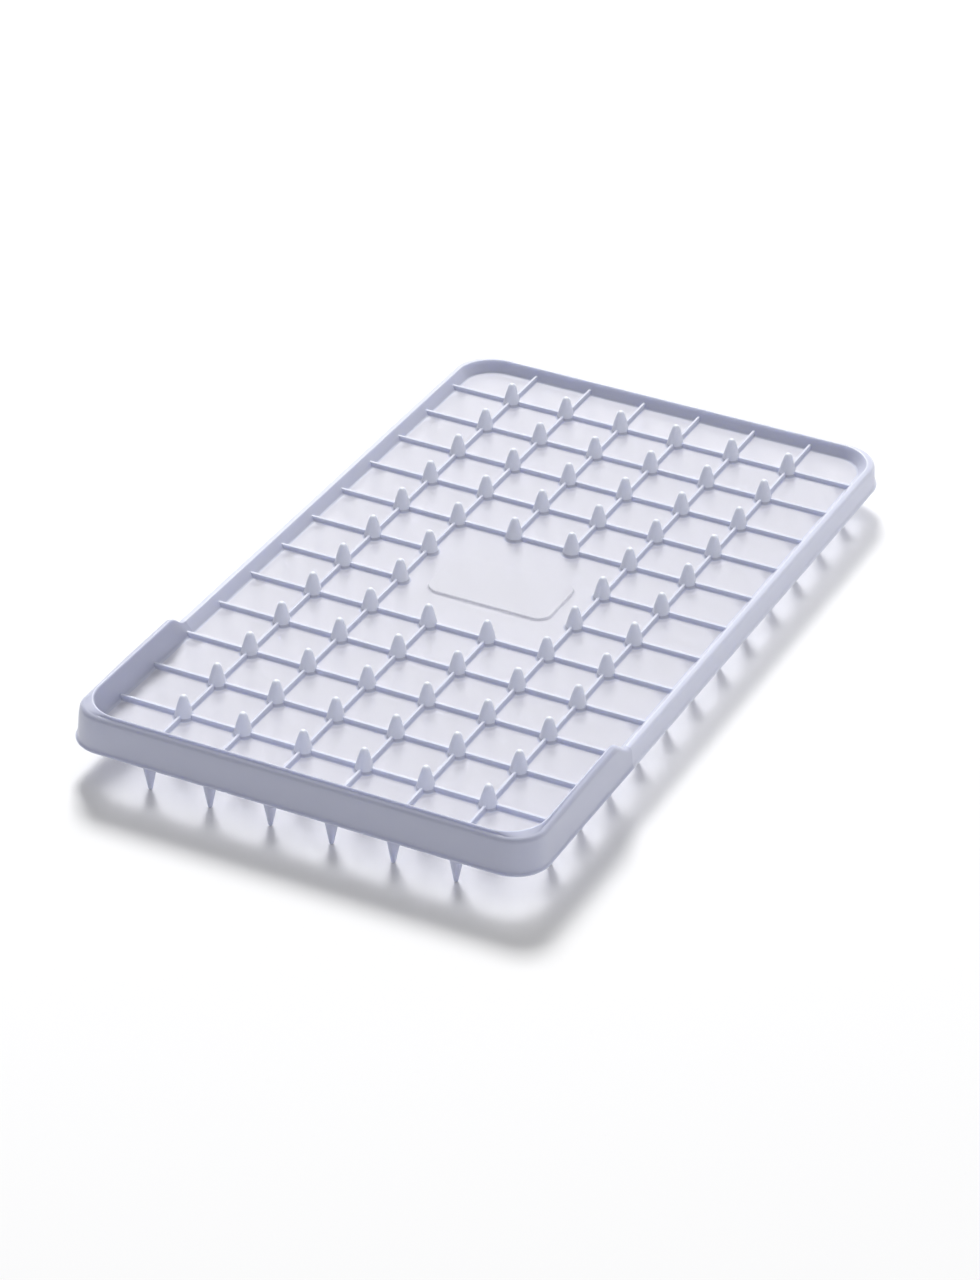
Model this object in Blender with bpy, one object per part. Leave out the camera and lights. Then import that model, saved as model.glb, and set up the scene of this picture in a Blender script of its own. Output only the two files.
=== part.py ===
"""Rest mat for a hot iron: one soft moulded tray that stands on tapered feet.

The real mat is a single moulding. It is split here along its own feature lines (ribbed floor,
stud rows, low rim, raised heel guard), with a thin gap between neighbours.

Metres, +Z up. Origin under the middle of the mat, on the table. The raised guard is at -Y.
"""
import bpy
import bmesh
from math import cos, pi, radians, sin
from mathutils import Matrix

MM = 0.001

# ---- driving dimensions -----------------------------------------------------------------------
PITCH = 20.0 * MM             # square grid of studs
COLS = 6                      # studs along X
ROWS = 12                     # studs along Y
GRID_Y = 0.9 * MM             # the stud grid sits a little towards the low end
HALF_W = 75.3 * MM            # outer face at the top of the guard, X
HALF_L = 133.3 * MM           # outer face at the top of the guard, Y
FRONT_R = 10.0 * MM           # outer corner radius there, at the guard
BACK_R = 13.0 * MM            # and at the low end
INNER_R = 12.0 * MM           # corner radius of the lip's inner edge
DRAFT = 0.07                  # the outer face spreads this much per unit of height, downwards
KICK = 0.6 * MM               # and this much more over its lowest part
KICK_HEIGHT = 2.0 * MM
CORNER_STEPS = 6
WALL = 4.0 * MM               # wall thickness at floor level, from the upper outer face

FLOOR_TOP = 13.8 * MM
FLOOR_THICK = 1.4 * MM
RIB_TOP = 15.4 * MM
RIB_THICK = 1.2 * MM
GAP = 0.3 * MM                # clearance between neighbouring nodes

PEG_TIP_Z = 21.4 * MM
PEG_BASE_R = 2.9 * MM
PEG_TIP_R = 1.1 * MM
FOOT_ROOT_R = 3.0 * MM
FOOT_TIP_R = 0.65 * MM
SIDES = 8                     # facets round a stud

RIM_TOP = 17.4 * MM           # low rim, both sides and the back
RIM_SKIRT = 9.2 * MM          # its lower edge
RIM_LIP = 2.0 * MM            # inner edge of its top
GUARD_TOP = 22.9 * MM         # raised guard round the front
GUARD_SKIRT = 10.6 * MM
GUARD_LIP = 2.6 * MM
GUARD_END_TOP = -76.8 * MM    # where the guard's top starts to fall
GUARD_END = -66.3 * MM        # where it meets the low rim
CORNER_SPLIT = 118.0 * MM     # front and back pieces carry the corners

CLEAR_COLS = (3, 4)           # studs left out for the plain centre panel
CLEAR_ROWS = (6, 7)
PAD_SIZE = (42.0 * MM, 24.0 * MM)  # plain raised pad in the centre panel
PAD_TOP = 14.7 * MM


def col_x(c):
    return (c - (COLS + 1) / 2) * PITCH


def row_y(r):
    return (r - (ROWS + 1) / 2) * PITCH + GRID_Y


# ---- scene ------------------------------------------------------------------------------------
for old in list(bpy.data.objects):
    bpy.data.objects.remove(old, do_unlink=True)

scene = bpy.context.scene
parts = bpy.data.collections.new("iron_rest_mat")
tools = bpy.data.collections.new("cutters")
scene.collection.children.link(parts)
scene.collection.children.link(tools)
tools.hide_render = True


def silicone(name, rgb):
    mat = bpy.data.materials.new(name)
    mat.use_nodes = True
    bsdf = mat.node_tree.nodes["Principled BSDF"]
    bsdf.inputs["Base Color"].default_value = (*rgb, 1.0)
    bsdf.inputs["Roughness"].default_value = 0.45
    return mat


def obj(name, data, home=parts):
    ob = bpy.data.objects.new(name, data)
    home.objects.link(ob)
    if home is tools:
        ob.display_type = "WIRE"
    return ob


def box(name, low, high, home=tools):
    """An axis-aligned block between two corners."""
    bm = bmesh.new()
    bmesh.ops.create_cube(bm, size=1.0)
    size = [h - l for l, h in zip(low, high)]
    mid = [(h + l) / 2 for l, h in zip(low, high)]
    bmesh.ops.scale(bm, vec=size, verts=bm.verts)
    bmesh.ops.translate(bm, vec=mid, verts=bm.verts)
    mesh = bpy.data.meshes.new(name)
    bm.to_mesh(mesh)
    bm.free()
    return obj(name, mesh, home)


def to_mesh(ob):
    """Turn a curve, or an object with modifiers, into a plain mesh object in place."""
    deps = bpy.context.evaluated_depsgraph_get()
    mesh = bpy.data.meshes.new_from_object(ob.evaluated_get(deps), depsgraph=deps)
    name, home = ob.name, ob.users_collection[0]
    bpy.data.objects.remove(ob, do_unlink=True)
    return obj(name, mesh, home)


def tidy(ob, merge=0.00001):
    bm = bmesh.new()
    bm.from_mesh(ob.data)
    bmesh.ops.remove_doubles(bm, verts=bm.verts, dist=merge)
    bmesh.ops.dissolve_degenerate(bm, edges=bm.edges, dist=merge)
    bmesh.ops.recalc_face_normals(bm, faces=bm.faces)
    bm.to_mesh(ob.data)
    bm.free()
    return ob


def join(name, pieces, home=tools):
    """Several separate solids in one mesh, to use as one tool."""
    bm = bmesh.new()
    for p in pieces:
        bm.from_mesh(p.data)
    mesh = bpy.data.meshes.new(name)
    bm.to_mesh(mesh)
    bm.free()
    for p in pieces:
        bpy.data.objects.remove(p, do_unlink=True)
    return obj(name, mesh, home)


def boolean(ob, tool, operation, solver="EXACT"):
    mod = ob.modifiers.new(operation.lower(), "BOOLEAN")
    mod.operation = operation
    mod.solver = solver
    mod.object = tool
    name = ob.name
    ob = to_mesh(ob)
    ob.name = name
    bpy.data.objects.remove(tool, do_unlink=True)
    return tidy(ob)


def finish(ob, rgb=(0.52, 0.55, 0.68)):
    tidy(ob)
    ob.data.materials.clear()
    ob.data.materials.append(silicone(ob.name + "_silicone", rgb))
    return ob


# ---- outlines and sweeps ----------------------------------------------------------------------
def rounded_rect(half_x, half_y, back_r, front_r=None):
    pts = []
    for sx, sy, start in ((1, 1, 0), (-1, 1, 90), (-1, -1, 180), (1, -1, 270)):
        r = front_r if front_r and sy < 0 else back_r
        for k in range(CORNER_STEPS + 1):
            a = radians(start + 90.0 * k / CORNER_STEPS)
            pts.append((sx * (half_x - r) + r * cos(a), sy * (half_y - r) + r * sin(a)))
    return pts


def circle(x, y, r, sides=SIDES):
    return [(x + r * cos(2 * pi * (k + 0.5) / sides), y + r * sin(2 * pi * (k + 0.5) / sides))
            for k in range(sides)]


def add_spline(curve, pts):
    sp = curve.splines.new("POLY")
    sp.points.add(len(pts) - 1)
    for p, (x, y) in zip(sp.points, pts):
        p.co = (x, y, 0.0, 1.0)
    sp.use_cyclic_u = True


def plate(name, outlines, low, high, home=parts):
    """A flat plate: the first outline with the others as holes."""
    curve = bpy.data.curves.new(name, "CURVE")
    curve.dimensions = "2D"
    curve.fill_mode = "BOTH"
    curve.extrude = (high - low) / 2
    for pts in outlines:
        add_spline(curve, pts)
    ob = to_mesh(obj(name, curve, home))
    for v in ob.data.vertices:
        v.co.z += (high + low) / 2
    return tidy(ob)


def wall_outline(side, u):
    """Outline of the wall u inward of its upper outer face, on the outer or the inner corner arc."""
    if side == "out":
        return rounded_rect(HALF_W - u, HALF_L - u, BACK_R - u, FRONT_R - u)
    return rounded_rect(HALF_W - u, HALF_L - u, INNER_R - (u - GUARD_LIP))


def wall_ring(name, profile):
    """Extrude an outline through a closed list of (side, inward, height) and weld it shut."""
    bm = bmesh.new()
    side, u, z = profile[0]
    verts = [bm.verts.new((x, y, z)) for x, y in wall_outline(side, u)]
    edges = [bm.edges.new(pair) for pair in zip(verts, verts[1:] + verts[:1])]
    for side, u, z in profile[1:] + profile[:1]:
        geom = bmesh.ops.extrude_edge_only(bm, edges=edges)["geom"]
        new = [g for g in geom if isinstance(g, bmesh.types.BMVert)]
        edges = [g for g in geom if isinstance(g, bmesh.types.BMEdge) and set(g.verts) <= set(new)]
        place = {tuple(v.co): i for i, v in enumerate(verts)}
        verts = sorted(new, key=lambda v: place[tuple(v.co)])
        for v, (x, y) in zip(verts, wall_outline(side, u)):
            v.co = (x, y, z)
    mesh = bpy.data.meshes.new(name)
    bm.to_mesh(mesh)
    bm.free()
    return tidy(obj(name, mesh, tools))


def wall_profile(skirt, top, lip, r=0.8 * MM):
    """Outer face that spreads downwards, rounded lip, inner face that leans in, flat underside."""
    def face(z):
        return -DRAFT * (GUARD_TOP - z)

    edge, knee = face(top), skirt + KICK_HEIGHT
    return [("out", face(skirt) - KICK, skirt), ("out", face(knee), knee), ("out", edge - DRAFT * r, top - r),
            ("out", edge + r * 0.3, top - r * 0.3), ("out", edge + r, top),
            ("in", lip - r, top), ("in", lip - r * 0.3, top - r * 0.3), ("in", lip, top - r),
            ("in", WALL, FLOOR_TOP), ("in", WALL, skirt)]


# ---- turned shapes ----------------------------------------------------------------------------
def turned(name, profile, x, y, home=tools):
    """Spin a (radius, height) profile that starts and ends on the axis."""
    mesh = bpy.data.meshes.new(name)
    bm = bmesh.new()
    verts = [bm.verts.new((r, 0.0, z)) for r, z in profile]
    for a, b in zip(verts, verts[1:]):
        bm.edges.new((a, b))
    bmesh.ops.spin(bm, geom=bm.verts[:] + bm.edges[:], cent=(0, 0, 0), axis=(0, 0, 1),
                   angle=2 * pi, steps=SIDES, use_merge=True)
    bmesh.ops.remove_doubles(bm, verts=bm.verts, dist=0.00001)
    bmesh.ops.recalc_face_normals(bm, faces=bm.faces)
    bmesh.ops.dissolve_limit(bm, angle_limit=radians(0.5), verts=bm.verts, edges=bm.edges)
    bmesh.ops.rotate(bm, verts=bm.verts, cent=(0, 0, 0), matrix=Matrix.Rotation(pi / SIDES, 3, "Z"))
    bmesh.ops.translate(bm, vec=(x, y, 0.0), verts=bm.verts)
    bm.to_mesh(mesh)
    bm.free()
    return obj(name, mesh, home)


def stud(x, y):
    """A foot below the floor and a peg above it, in one turned piece."""
    return turned("stud", [(0.0, 0.0), (FOOT_TIP_R, 0.0), (FOOT_ROOT_R, FLOOR_TOP - FLOOR_THICK),
                           (PEG_BASE_R, FLOOR_TOP), (PEG_TIP_R, PEG_TIP_Z), (0.0, PEG_TIP_Z)], x, y)


def foot(x, y):
    root = FLOOR_TOP - FLOOR_THICK - GAP
    return turned("foot", [(0.0, 0.0), (FOOT_TIP_R, 0.0), (FOOT_ROOT_R, root), (0.0, root)], x, y)


# ---- ribbed floor -----------------------------------------------------------------------------
inner_x = HALF_W - WALL
inner_y = HALF_L - WALL
sheet = [wall_outline("in", WALL + GAP)]
for r in range(1, ROWS + 1):
    for c in range(1, COLS + 1):
        if not (c in CLEAR_COLS and r in CLEAR_ROWS):
            sheet.append(circle(col_x(c), row_y(r), FOOT_ROOT_R + GAP))
floor = plate("floor_sheet", sheet, FLOOR_TOP - FLOOR_THICK, FLOOR_TOP)

# long ribs: one short length between each pair of stud rows, moulded on the sheet
lengths = []
clear_low, clear_high = row_y(CLEAR_ROWS[0] - 1), row_y(CLEAR_ROWS[1] + 1)
for c in range(1, COLS + 1):
    for r in range(0, ROWS + 1):
        y0 = row_y(r) + FOOT_ROOT_R + 2 * GAP if r > 0 else -inner_y + 2 * GAP
        y1 = row_y(r + 1) - FOOT_ROOT_R - 2 * GAP if r < ROWS else inner_y - 2 * GAP
        if c in CLEAR_COLS and clear_low < (y0 + y1) / 2 < clear_high:
            continue
        lengths.append(box("length", (col_x(c) - RIB_THICK / 2, y0, FLOOR_TOP - FLOOR_THICK / 2),
                           (col_x(c) + RIB_THICK / 2, y1, RIB_TOP)))
floor = boolean(floor, join("lengths", lengths), "UNION")
finish(floor, (0.62, 0.65, 0.76))

# ---- stud rows --------------------------------------------------------------------------------
def stud_row(name, r, cols, x0, x1):
    """One cross rib with its pegs above the floor and its feet below."""
    rib = box(name, (x0, row_y(r) - RIB_THICK / 2, FLOOR_TOP + GAP),
              (x1, row_y(r) + RIB_THICK / 2, RIB_TOP), parts)
    studs = join("studs", [stud(col_x(c), row_y(r)) for c in cols])
    return finish(boolean(rib, studs, "UNION"), (0.45, 0.48, 0.62))


rib_end = inner_x - GAP
for r in range(1, ROWS + 1):
    if r in CLEAR_ROWS:
        left = [c for c in range(1, COLS + 1) if c < CLEAR_COLS[0]]
        right = [c for c in range(1, COLS + 1) if c > CLEAR_COLS[-1]]
        stud_row("stud_row_%02d_left" % r, r, left, -rib_end, col_x(left[-1]) + RIB_THICK)
        stud_row("stud_row_%02d_right" % r, r, right, col_x(right[0]) - RIB_THICK, rib_end)
    else:
        stud_row("stud_row_%02d" % r, r, range(1, COLS + 1), -rib_end, rib_end)

# ---- walls ------------------------------------------------------------------------------------
def wall_piece(name, profile, low, high, feet, shape=None):
    """Cut one length out of a wall sweep and add the feet that stand under it."""
    ring = wall_ring(name, profile)
    piece = boolean(ring, box("span", low, high), "INTERSECT")
    if shape:
        piece = boolean(piece, shape(), "INTERSECT")
    piece = boolean(piece, join("feet", [foot(x, y) for x, y in feet]), "UNION")
    new = obj(name, piece.data, parts)
    bpy.data.objects.remove(piece, do_unlink=True)
    new.name = name
    return finish(new, (0.36, 0.39, 0.52))


def guard_side():
    """Side view of the guard: level top, then an eased fall to the low rim at its end."""
    fall = GUARD_TOP - RIM_TOP
    run = GUARD_END - GUARD_END_TOP
    pts = [(-CORNER_SPLIT - 1 * MM, 0.0), (GUARD_END, 0.0)]
    for k in range(9):
        t = k / 8
        pts.append((GUARD_END - run * t, RIM_TOP + fall * (0.5 - 0.5 * cos(pi * t))))
    pts.append((-CORNER_SPLIT - 1 * MM, GUARD_TOP))
    curve = bpy.data.curves.new("guard_side", "CURVE")
    curve.dimensions = "2D"
    curve.fill_mode = "BOTH"
    curve.extrude = HALF_W + 5 * MM
    add_spline(curve, pts)
    ob = to_mesh(obj("guard_side", curve, tools))
    ob.data.transform(Matrix(((0, 0, 1, 0), (1, 0, 0, 0), (0, 1, 0, 0), (0, 0, 0, 1))))
    return tidy(ob)


far = 0.2
rim = wall_profile(RIM_SKIRT, RIM_TOP, RIM_LIP)
guard = wall_profile(GUARD_SKIRT, GUARD_TOP, GUARD_LIP)
side_x = (COLS + 1) / 2 * PITCH
guard_rows = [r for r in range(1, ROWS + 1) if row_y(r) < GUARD_END]
rim_rows = [r for r in range(1, ROWS + 1) if row_y(r) > GUARD_END]

wall_piece("guard_front", guard, (-far, -far, 0), (far, -CORNER_SPLIT, far),
           [(col_x(c), row_y(0)) for c in range(1, COLS + 1)])
wall_piece("rim_back", rim, (-far, CORNER_SPLIT, 0), (far, far, far),
           [(col_x(c), row_y(ROWS + 1)) for c in range(1, COLS + 1)])
for side, s in (("left", -1), ("right", 1)):
    x0, x1 = (-far, 0.0) if s < 0 else (0.0, far)
    wall_piece("guard_" + side, guard, (x0, -CORNER_SPLIT + GAP, 0), (x1, GUARD_END, far),
               [(s * side_x, row_y(r)) for r in guard_rows], guard_side)
    wall_piece("rim_" + side, rim, (x0, GUARD_END + GAP, 0), (x1, CORNER_SPLIT - GAP, far),
               [(s * side_x, row_y(r)) for r in rim_rows])

# ---- plain pad in the centre panel ------------------------------------------------------------
pad = [(x, y + GRID_Y) for x, y in rounded_rect(PAD_SIZE[0] / 2, PAD_SIZE[1] / 2, PAD_SIZE[1] / 5)]
finish(plate("centre_pad", [pad], FLOOR_TOP + GAP, PAD_TOP), (0.55, 0.58, 0.70))
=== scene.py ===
from math import cos, hypot, pi, radians, sin

import bmesh
import bpy
from mathutils import Matrix, Vector


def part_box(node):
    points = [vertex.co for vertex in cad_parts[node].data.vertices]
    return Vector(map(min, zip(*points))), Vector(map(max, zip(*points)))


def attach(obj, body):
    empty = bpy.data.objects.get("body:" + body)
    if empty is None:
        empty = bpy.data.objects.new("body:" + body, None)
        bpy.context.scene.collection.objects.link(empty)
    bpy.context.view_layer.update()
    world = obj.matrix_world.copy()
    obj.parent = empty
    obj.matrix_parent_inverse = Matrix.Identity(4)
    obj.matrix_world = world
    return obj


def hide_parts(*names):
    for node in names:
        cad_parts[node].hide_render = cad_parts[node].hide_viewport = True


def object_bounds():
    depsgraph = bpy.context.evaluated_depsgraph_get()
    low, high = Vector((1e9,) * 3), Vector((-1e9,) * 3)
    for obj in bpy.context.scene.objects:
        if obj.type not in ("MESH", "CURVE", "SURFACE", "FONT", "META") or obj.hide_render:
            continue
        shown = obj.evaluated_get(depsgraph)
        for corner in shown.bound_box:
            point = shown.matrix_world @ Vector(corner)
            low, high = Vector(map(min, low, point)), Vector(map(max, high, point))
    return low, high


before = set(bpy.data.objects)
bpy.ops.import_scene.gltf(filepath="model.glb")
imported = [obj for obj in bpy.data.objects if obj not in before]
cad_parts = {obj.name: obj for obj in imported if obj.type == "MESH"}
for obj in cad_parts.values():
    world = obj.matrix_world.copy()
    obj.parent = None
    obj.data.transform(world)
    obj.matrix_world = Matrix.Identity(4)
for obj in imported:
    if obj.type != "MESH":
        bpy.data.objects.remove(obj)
cad_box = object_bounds()

MM = 0.001

# ---- the mat's dimensions, as in the CAD ------------------------------------------------------
HALF_W, HALF_L = 75.3 * MM, 133.3 * MM     # outer face at the top of the guard
GUARD_TOP = cad_box[1][2]
RIM_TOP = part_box("rim_back")[1][2]
PEG_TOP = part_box("stud_row_01")[1][2]
FLOOR_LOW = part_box("floor_sheet")[0][2]
RIB_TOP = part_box("floor_sheet")[1][2]
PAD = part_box("centre_pad")
PITCH = 20.0 * MM
GRID_Y = 0.9 * MM                          # the stud grid sits a little towards the low end
COLS, ROWS = 6, 12
FLOOR_TOP = FLOOR_LOW + 1.4 * MM
FRONT_R, BACK_R = 10.0 * MM, 13.0 * MM     # outer corner radii
INNER_R = 12.0 * MM                        # corner radius of the lip's inner edge
DRAFT = 0.07                               # the outer face spreads this much downwards
KICK, KICK_HEIGHT = 0.6 * MM, 2.0 * MM     # and this much more over its lowest part
GUARD_SKIRT, RIM_SKIRT = 10.6 * MM, 9.2 * MM
GUARD_LIP, RIM_LIP = 2.6 * MM, 2.0 * MM
GUARD_FALL = (-77.2 * MM, -66.9 * MM)      # where the guard's top runs down to the low rim
WALL = 4.0 * MM
SKIRT_RUN = 100 * MM                       # the skirt's lower edge changes evenly within this of the middle
CLEAR_COLS, CLEAR_ROWS = (3, 4), (6, 7)    # no studs where these cross
SEGMENTS = 28                              # round a stud
WELD = 0.005 * MM


def col_x(c):
    return (c - (COLS + 1) / 2) * PITCH


def row_y(r):
    return (r - (ROWS + 1) / 2) * PITCH + GRID_Y


# ---- mesh helpers -----------------------------------------------------------------------------
def new_object(name, bm):
    bmesh.ops.recalc_face_normals(bm, faces=bm.faces)
    mesh = bpy.data.meshes.new(name)
    bm.to_mesh(mesh)
    bm.free()
    ob = bpy.data.objects.new(name, mesh)
    bpy.context.scene.collection.objects.link(ob)
    return ob


def loft(bm, rings, closed=False, caps=True):
    """Skin a list of point rings. closed joins the last ring to the first."""
    loops = [[bm.verts.new(p) for p in ring] for ring in rings]
    pairs = list(zip(loops, loops[1:])) + ([(loops[-1], loops[0])] if closed else [])
    for a, b in pairs:
        n = len(a)
        for i in range(n):
            bm.faces.new((a[i], a[(i + 1) % n], b[(i + 1) % n], b[i]))
    if caps and not closed:
        bm.faces.new(list(reversed(loops[0])))
        bm.faces.new(loops[-1])


def lathe(bm, profile, x, y, segments=SEGMENTS):
    """Turn a (radius, height) profile about a vertical axis, with flat ends."""
    rings = [[(x + r * cos(2 * pi * k / segments), y + r * sin(2 * pi * k / segments), z)
              for k in range(segments)] for r, z in profile]
    loft(bm, rings)


def union(ob, other):
    mod = ob.modifiers.new("union", "BOOLEAN")
    mod.operation = "UNION"
    mod.solver = "MANIFOLD"
    mod.object = other
    deps = bpy.context.evaluated_depsgraph_get()
    mesh = bpy.data.meshes.new_from_object(ob.evaluated_get(deps), depsgraph=deps)
    ob.modifiers.clear()
    ob.data = mesh
    bpy.data.objects.remove(other, do_unlink=True)


def arc(cx, cz, r, a0, a1, n):
    """Points of a circular arc, in degrees, as (across, height)."""
    turns = [radians(a0 + (a1 - a0) * k / n) for k in range(n + 1)]
    return [(cx + r * cos(t), cz + r * sin(t)) for t in turns]


# ---- studs: a foot below the floor and a peg above it -----------------------------------------
def foot_profile(root):
    """(radius, height) from the foot's rounded tip up to where it flares into the floor at root."""
    tip = [(0.18 * MM, 0.0), (0.42 * MM, 0.07 * MM), (0.60 * MM, 0.24 * MM), (0.70 * MM, 0.50 * MM)]
    flare = [(2.62 * MM, root - 1.7 * MM), (2.78 * MM, root - 1.0 * MM),
             (3.05 * MM, root - 0.45 * MM), (3.45 * MM, root - 0.10 * MM), (3.75 * MM, root + 0.04 * MM)]
    return tip + flare


def peg_profile(base, top):
    """(radius, height) from the floor at base up to the peg's rounded tip at top."""
    flare = [(3.6 * MM, base - 0.04 * MM), (3.2 * MM, base + 0.10 * MM),
             (2.92 * MM, base + 0.40 * MM), (2.78 * MM, base + 0.9 * MM)]
    side = [(2.15 * MM, base + 3.6 * MM), (1.42 * MM, top - 1.5 * MM)]
    tip = [(1.22 * MM, top - 0.85 * MM), (0.98 * MM, top - 0.40 * MM),
           (0.66 * MM, top - 0.12 * MM), (0.30 * MM, top)]
    return flare + side + tip


bm = bmesh.new()
for r in range(1, ROWS + 1):
    for c in range(1, COLS + 1):
        if not (c in CLEAR_COLS and r in CLEAR_ROWS):
            lathe(bm, foot_profile(FLOOR_LOW) + peg_profile(FLOOR_TOP, PEG_TOP), col_x(c), row_y(r))
studs = new_object("studs", bm)

bm = bmesh.new()
edge = [(col_x(c), row_y(r)) for c in range(1, COLS + 1) for r in (0, ROWS + 1)]
edge += [(col_x(c), row_y(r)) for c in (0, COLS + 1) for r in range(1, ROWS + 1)]
for x, y in edge:
    lathe(bm, foot_profile(FLOOR_LOW) + [(3.4 * MM, FLOOR_LOW + 0.5 * MM)], x, y)
edge_feet = new_object("edge_feet", bm)


# ---- wall: one section swept round the outline, higher round the front ------------------------
def outline(steps=18):
    """Stations round the mat: outer face x, y, lip's inner edge x, y, and the outward normal."""
    out = []
    corners = ((1, 1, 0), (-1, 1, 90), (-1, -1, 180), (1, -1, 270))
    lip_w, lip_l = HALF_W - GUARD_LIP, HALF_L - GUARD_LIP
    for i, (sx, sy, start) in enumerate(corners):
        r = FRONT_R if sy < 0 else BACK_R
        for k in range(steps + 1):
            a = radians(start + 90.0 * k / steps)
            out.append((sx * (HALF_W - r) + r * cos(a), sy * (HALF_L - r) + r * sin(a),
                        sx * (lip_w - INNER_R) + INNER_R * cos(a),
                        sy * (lip_l - INNER_R) + INNER_R * sin(a),
                        cos(a), sin(a)))
        if i in (1, 3):                    # extra stations down each long side
            ys = [GUARD_FALL[0] + (GUARD_FALL[1] - GUARD_FALL[0]) * k / 24 for k in range(-2, 27)]
            ys += [-100 * MM, -50 * MM, 0.0, 50 * MM, 100 * MM]
            ys.sort(reverse=i == 1)
            side = -1.0 if i == 1 else 1.0
            out += [(side * HALF_W, y, side * lip_w, y, side, 0.0) for y in ys]
    return out


def guard_share(y):
    """1 round the guard, 0 along the low rim, eased between."""
    t = (y - GUARD_FALL[0]) / (GUARD_FALL[1] - GUARD_FALL[0])
    t = min(1.0, max(0.0, t))
    return 1.0 - t * t * (3 - 2 * t)


def wall_section(g, y, spare):
    """Closed section for guard share g at y, as outer (inward, height) points and inner ones.

    spare is how much wider the lip is than on the sides, as a share: the wider it is, the more
    its top falls outwards.
    """
    top = RIM_TOP + (GUARD_TOP - RIM_TOP) * g
    along = max(-1.0, min(1.0, y / SKIRT_RUN))
    skirt = (GUARD_SKIRT + RIM_SKIRT) / 2 - (GUARD_SKIRT - RIM_SKIRT) / 2 * along
    lip = RIM_LIP + (GUARD_LIP - RIM_LIP) * g

    def face(z):
        t = max(0.0, 1.0 - (z - skirt) / KICK_HEIGHT)
        return -DRAFT * (GUARD_TOP - z) - KICK * t * t

    ro, ri = (1.2 + 0.7 * g) * MM, (0.5 + 0.1 * g) * MM
    edge = face(skirt)
    outer = [(edge + 0.80 * MM, skirt), (edge + 0.36 * MM, skirt + 0.05 * MM),
             (edge + 0.10 * MM, skirt + 0.20 * MM), (edge + 0.02 * MM, skirt + 0.42 * MM)]
    outer += [(face(z), z) for z in (skirt + h * MM for h in (0.8, 1.2, 1.6, 2.0))]
    outer += [(face(z), z) for z in (skirt + (top - ro - skirt) * k for k in (0.5, 0.8))]
    outer += arc(face(top) + ro, top - ro - (0.18 + 0.55 * spare) * MM, ro, 176, 96, 9)
    inner = arc(lip - ri, top - ri, ri, 88, 14, 6)
    foot_in, foot_up = WALL - 0.15 * MM, FLOOR_TOP + 0.9 * MM
    for k in (0.35, 0.7):
        inner.append((lip + (foot_in - lip) * k, top - ri + (foot_up - top + ri) * k))
    inner += [(foot_in, foot_up), (WALL + 0.1 * MM, FLOOR_TOP + 0.38 * MM),
              (WALL + 0.45 * MM, FLOOR_TOP + 0.12 * MM), (WALL + 0.9 * MM, FLOOR_TOP - 0.03 * MM),
              (WALL + 0.9 * MM, FLOOR_LOW + 0.5 * MM), (WALL + 0.5 * MM, FLOOR_LOW - 0.03 * MM),
              (WALL + 0.1 * MM, FLOOR_LOW - 0.4 * MM), (WALL, skirt + 0.6 * MM),
              (WALL - 0.2 * MM, skirt + 0.2 * MM), (WALL - 0.6 * MM, skirt)]
    return outer, inner


bm = bmesh.new()
rings = []
for x, y, lx, ly, nx, ny in outline():
    spare = hypot(x - lx, y - ly) / GUARD_LIP - 1.0
    outer, inner = wall_section(guard_share(y), y, spare)
    rings.append([(x - nx * u, y - ny * u, z) for u, z in outer]
                 + [(lx - nx * (u - GUARD_LIP), ly - ny * (u - GUARD_LIP), z) for u, z in inner])
loft(bm, rings, closed=True)
mat = new_object("silicone_mat", bm)

# ---- floor ------------------------------------------------------------------------------------
bm = bmesh.new()
inset = 2.2 * MM
flat = [(x - nx * inset, y - ny * inset) for x, y, lx, ly, nx, ny in outline()
        if abs(y) > HALF_L - BACK_R - 1e-6]
loft(bm, [[(x, y, z) for x, y in flat] for z in (FLOOR_LOW, FLOOR_TOP)])
floor = new_object("floor", bm)
union(mat, floor)


# ---- ribs -------------------------------------------------------------------------------------
def rib_section():
    """(across, height) outline of a rib: rounded top, small fillets at the floor."""
    half, top, base = 0.42 * MM, RIB_TOP, FLOOR_TOP
    side = [(half + 0.60 * MM, base - 0.3 * MM), (half + 0.60 * MM, base + 0.02 * MM),
            (half + 0.32 * MM, base + 0.12 * MM), (half + 0.20 * MM, base + 0.34 * MM),
            (half, top - 0.18 * MM), (half - 0.06 * MM, top - 0.05 * MM), (half - 0.18 * MM, top)]
    return side + [(-u, z) for u, z in reversed(side)]


def rib(bm, a, b, across):
    """A straight rib from a to b. across is 'x' for ribs that run along Y."""
    section = rib_section()
    rings = []
    for p in (a, b):
        rings.append([(p[0] + u, p[1], z) if across == "x" else (p[0], p[1] + u, z)
                      for u, z in section])
    loft(bm, rings)


end_x, end_y = HALF_W - 3.2 * MM, HALF_L - 3.2 * MM
bm = bmesh.new()
for c in range(1, COLS + 1):
    if c in CLEAR_COLS:
        rib(bm, (col_x(c), -end_y), (col_x(c), row_y(CLEAR_ROWS[0] - 1)), "x")
        rib(bm, (col_x(c), row_y(CLEAR_ROWS[-1] + 1)), (col_x(c), end_y), "x")
    else:
        rib(bm, (col_x(c), -end_y), (col_x(c), end_y), "x")
union(mat, new_object("long_ribs", bm))
bm = bmesh.new()
for r in range(1, ROWS + 1):
    if r in CLEAR_ROWS:
        rib(bm, (-end_x, row_y(r)), (col_x(CLEAR_COLS[0] - 1), row_y(r)), "y")
        rib(bm, (col_x(CLEAR_COLS[-1] + 1), row_y(r)), (end_x, row_y(r)), "y")
    else:
        rib(bm, (-end_x, row_y(r)), (end_x, row_y(r)), "y")
union(mat, new_object("cross_ribs", bm))
union(mat, studs)
union(mat, edge_feet)

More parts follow.
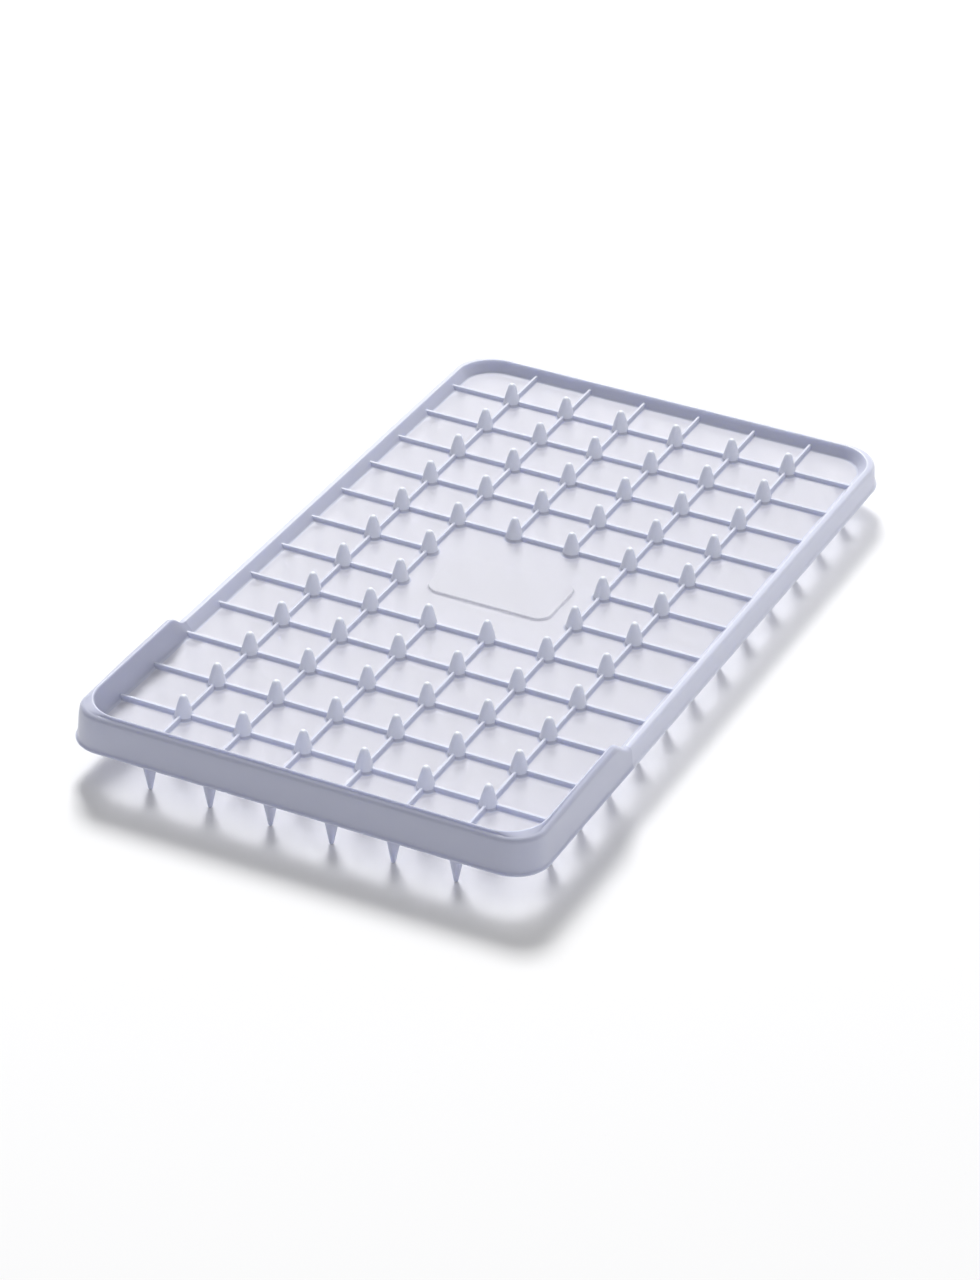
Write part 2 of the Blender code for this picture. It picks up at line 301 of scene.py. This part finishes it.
# ---- plain pad in the centre panel ------------------------------------------------------------
def rounded_rect(half_x, half_y, r, steps=8):
    pts = []
    for sx, sy, start in ((1, 1, 0), (-1, 1, 90), (-1, -1, 180), (1, -1, 270)):
        for k in range(steps + 1):
            a = radians(start + 90.0 * k / steps)
            pts.append((sx * (half_x - r) + r * cos(a), sy * (half_y - r) + r * sin(a)))
    return pts


pad_x, pad_y, pad_top = PAD[1][0], (PAD[1][1] - PAD[0][1]) / 2, PAD[1][2]
bm = bmesh.new()
rings = []
for u, z in ((-0.35 * MM, FLOOR_TOP - 0.3 * MM), (-0.35 * MM, FLOOR_TOP + 0.02 * MM),
             (-0.06 * MM, FLOOR_TOP + 0.20 * MM), (0.0, pad_top - 0.25 * MM),
             (0.10 * MM, pad_top - 0.07 * MM), (0.32 * MM, pad_top)):
    rings.append([(x, y + GRID_Y, z) for x, y in rounded_rect(pad_x - u, pad_y - u, pad_y * 0.4 - u)])
loft(bm, rings)
union(mat, new_object("pad", bm))

bm = bmesh.new()
bm.from_mesh(mat.data)
bmesh.ops.remove_doubles(bm, verts=bm.verts, dist=WELD)
bmesh.ops.recalc_face_normals(bm, faces=bm.faces)
bm.to_mesh(mat.data)
bm.free()
mat.data.shade_smooth()
mat.data.set_sharp_from_angle(angle=radians(38))
even = mat.modifiers.new("even_flats", "WEIGHTED_NORMAL")
even.mode = "FACE_AREA"
even.weight = 100
even.keep_sharp = True

# ---- frosted silicone: the thin floor lets more through than the walls, studs and ribs; the stud, rib and low rim copies carry painted light and shade in their colours ---
def frosted(name, colour, clear, rough, ior, depth, coat, lamp):
    """Milky silicone. clear is its see-through share, depth how far light spreads inside it,
    and lamp what each face lets through to a shadow."""
    material = bpy.data.materials.new(name)
    material.use_nodes = True
    nt = material.node_tree
    bsdf = nt.nodes["Principled BSDF"]
    out = nt.nodes["Material Output"]
    bsdf.inputs["Base Color"].default_value = (*colour, 1.0)
    bsdf.inputs["Roughness"].default_value = rough
    bsdf.inputs["IOR"].default_value = ior
    bsdf.inputs["Transmission Weight"].default_value = clear
    bsdf.inputs["Subsurface Weight"].default_value = 1.0
    bsdf.inputs["Subsurface Radius"].default_value = (1.0, 1.0, 1.0)
    bsdf.inputs["Subsurface Scale"].default_value = depth
    bsdf.inputs["Coat Weight"].default_value = coat
    bsdf.inputs["Coat Roughness"].default_value = 0.22
    through = nt.nodes.new("ShaderNodeBsdfTransparent")
    through.inputs["Color"].default_value = (*lamp, 1.0)
    path = nt.nodes.new("ShaderNodeLightPath")
    mix = nt.nodes.new("ShaderNodeMixShader")
    nt.links.new(path.outputs["Is Shadow Ray"], mix.inputs[0])
    nt.links.new(bsdf.outputs["BSDF"], mix.inputs[1])
    nt.links.new(through.outputs["BSDF"], mix.inputs[2])
    nt.links.new(mix.outputs["Shader"], out.inputs["Surface"])
    coords = nt.nodes.new("ShaderNodeTexCoord")
    grain = nt.nodes.new("ShaderNodeTexNoise")
    grain.inputs["Scale"].default_value = 1800.0
    grain.inputs["Detail"].default_value = 2.0
    bump = nt.nodes.new("ShaderNodeBump")
    bump.inputs["Strength"].default_value = 0.10
    bump.inputs["Distance"].default_value = 0.00005
    nt.links.new(coords.outputs["Object"], grain.inputs["Vector"])
    nt.links.new(grain.outputs["Fac"], bump.inputs["Height"])
    nt.links.new(bump.outputs["Normal"], bsdf.inputs["Normal"])
    return material


mat.data.materials.clear()
# One silicone in lit and shaded copies: the stud and low rim colours are lighter as painted light, the rib
# colour darker as painted shade.
SILICONE_LIT_AND_SHADED_COPIES = (    # name, colour, clear, rough, ior, depth, coat, lamp
    ("silicone_guard", (0.56, 0.58, 0.71), 0.0, 0.40, 1.41, 0.0014, 0.25, (0.31, 0.31, 0.32)),
    ("silicone_floor", (0.705, 0.705, 0.75), 0.38, 0.50, 1.12, 0.0012, 0.0, (0.67, 0.67, 0.68)),
    # painted light: the stud colour is lighter than the guard's so the back-lit pegs look lit
    ("silicone_stud_painted_light", (0.80, 0.82, 0.96), 0.0, 0.48, 1.41, 0.0014, 0.12, (0.80, 0.80, 0.81)),
    # painted shade: the rib colour is darker than the studs' so the ribs' shaded faces look dark
    ("silicone_rib_painted_shade", (0.61, 0.63, 0.735), 0.0, 0.60, 1.30, 0.0014, 0.0, (0.80, 0.80, 0.81)),
    # partly real, partly painted light: light spreads deeper inside the thin rim, and its colour is lighter
    # than the guard's to stand in for lamp light through the back wall
    ("silicone_rim_painted_light", (0.65, 0.67, 0.79), 0.0, 0.40, 1.41, 0.0026, 0.20, (0.53, 0.53, 0.54)))
for silicone_copy in SILICONE_LIT_AND_SHADED_COPIES:
    mat.data.materials.append(frosted(*silicone_copy))
GUARD, FLOOR, STUDS_PAINTED_LIGHT, RIBS_PAINTED_SHADE, RIM_PAINTED_LIGHT = range(5)
# Faces take their copy by region: the ribs the darker painted-shade copy, the studs and the low rim the
# lighter painted-light copies.
for face in mat.data.polygons:
    x, y, z = face.center
    level = abs(face.normal.z) > 0.99 and min(abs(z - FLOOR_TOP), abs(z - FLOOR_LOW)) < 0.05 * MM
    on_pad = abs(x) < PAD[1][0] + MM and PAD[0][1] - MM < y < PAD[1][1] + MM
    level = level or (on_pad and z > FLOOR_LOW + 0.1 * MM)
    past_x = max(0.0, abs(x) - (HALF_W - GUARD_LIP - INNER_R))
    past_y = max(0.0, abs(y) - (HALF_L - GUARD_LIP - INNER_R))
    inside = hypot(past_x, past_y) < INNER_R + GUARD_LIP - WALL and z > FLOOR_TOP - 0.1 * MM
    rim = y > GUARD_FALL[1] and z > FLOOR_LOW - 3.5 * MM
    wall = RIM_PAINTED_LIGHT if rim else GUARD
    raised = RIBS_PAINTED_SHADE if z < RIB_TOP + 0.02 * MM else STUDS_PAINTED_LIGHT
    face.material_index = FLOOR if level else raised if inside else wall

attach(mat, "root")
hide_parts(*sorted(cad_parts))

# ---- stage, light, camera ---------------------------------------------------------------------
bm = bmesh.new()
bmesh.ops.create_grid(bm, x_segments=1, y_segments=1, size=4.0)
ground = new_object("studio_floor", bm)
paper = bpy.data.materials.new("white_paper")
paper.use_nodes = True
p = paper.node_tree.nodes["Principled BSDF"]
p.inputs["Base Color"].default_value = (0.93, 0.93, 0.935, 1.0)
p.inputs["Roughness"].default_value = 0.9
p.inputs["Specular IOR Level"].default_value = 0.1
ground.data.materials.append(paper)

world = bpy.data.worlds.new("studio") if not bpy.context.scene.world else bpy.context.scene.world
bpy.context.scene.world = world
world.use_nodes = True
sky = world.node_tree
sky.nodes["Background"].inputs["Color"].default_value = (1.0, 1.0, 1.0, 1.0)
where = sky.nodes.new("ShaderNodeTexCoord")
side = sky.nodes.new("ShaderNodeVectorMath")
side.operation = "DOT_PRODUCT"
side.inputs[1].default_value = (0.97, 0.24, 0.0)      # brighter on the mat's right-hand side
spread = sky.nodes.new("ShaderNodeMapRange")
spread.inputs["From Min"].default_value, spread.inputs["From Max"].default_value = -1.0, 1.0
spread.inputs["To Min"].default_value, spread.inputs["To Max"].default_value = 0.17, 0.63
sky.links.new(where.outputs["Generated"], side.inputs[0])
sky.links.new(side.outputs["Value"], spread.inputs["Value"])
sky.links.new(spread.outputs["Result"], sky.nodes["Background"].inputs["Strength"])


def softbox(name, place, target, size, power):
    light = bpy.data.lights.new(name, "AREA")
    light.shape = "RECTANGLE"
    light.size, light.size_y = size, size
    light.energy = power
    ob = bpy.data.objects.new(name, light)
    bpy.context.scene.collection.objects.link(ob)
    ob.location = place
    ob.rotation_euler = (Vector(target) - Vector(place)).to_track_quat("-Z", "Y").to_euler()


KEY_AWAY, KEY_UP, KEY_SIZE, KEY_WATTS = 3.36, 3.09, 1.1, 228.0
to_key = Vector((-0.5224, 0.8527, 0.0))        # level direction of the lamp, behind the mat
softbox("back_key", to_key * KEY_AWAY + Vector((0, 0, KEY_UP)), (0, 0, 0), KEY_SIZE, KEY_WATTS)

cam_data = bpy.data.cameras.new("camera")
cam_data.lens, cam_data.sensor_width = 117.26, 36.0
cam = bpy.data.objects.new("camera", cam_data)
bpy.context.scene.collection.objects.link(cam)
cam.location = (0.4754, -1.0017, 0.6790)
forward = Vector((-0.3668, 0.7682, -0.5247)).normalized()
level = forward.cross(Vector((0, 0, 1))).normalized()
roll = radians(1.45)
right = (level * cos(roll) + level.cross(forward) * sin(roll)).normalized()
up = right.cross(forward).normalized()
cam.rotation_euler = Matrix((right, up, -forward)).transposed().to_euler()
cam_data.clip_start, cam_data.clip_end = 0.01, 50.0
bpy.context.scene.camera = cam

view = bpy.context.scene.view_settings
view.view_transform = "Standard"
view.look = "None"
view.exposure = 0.0
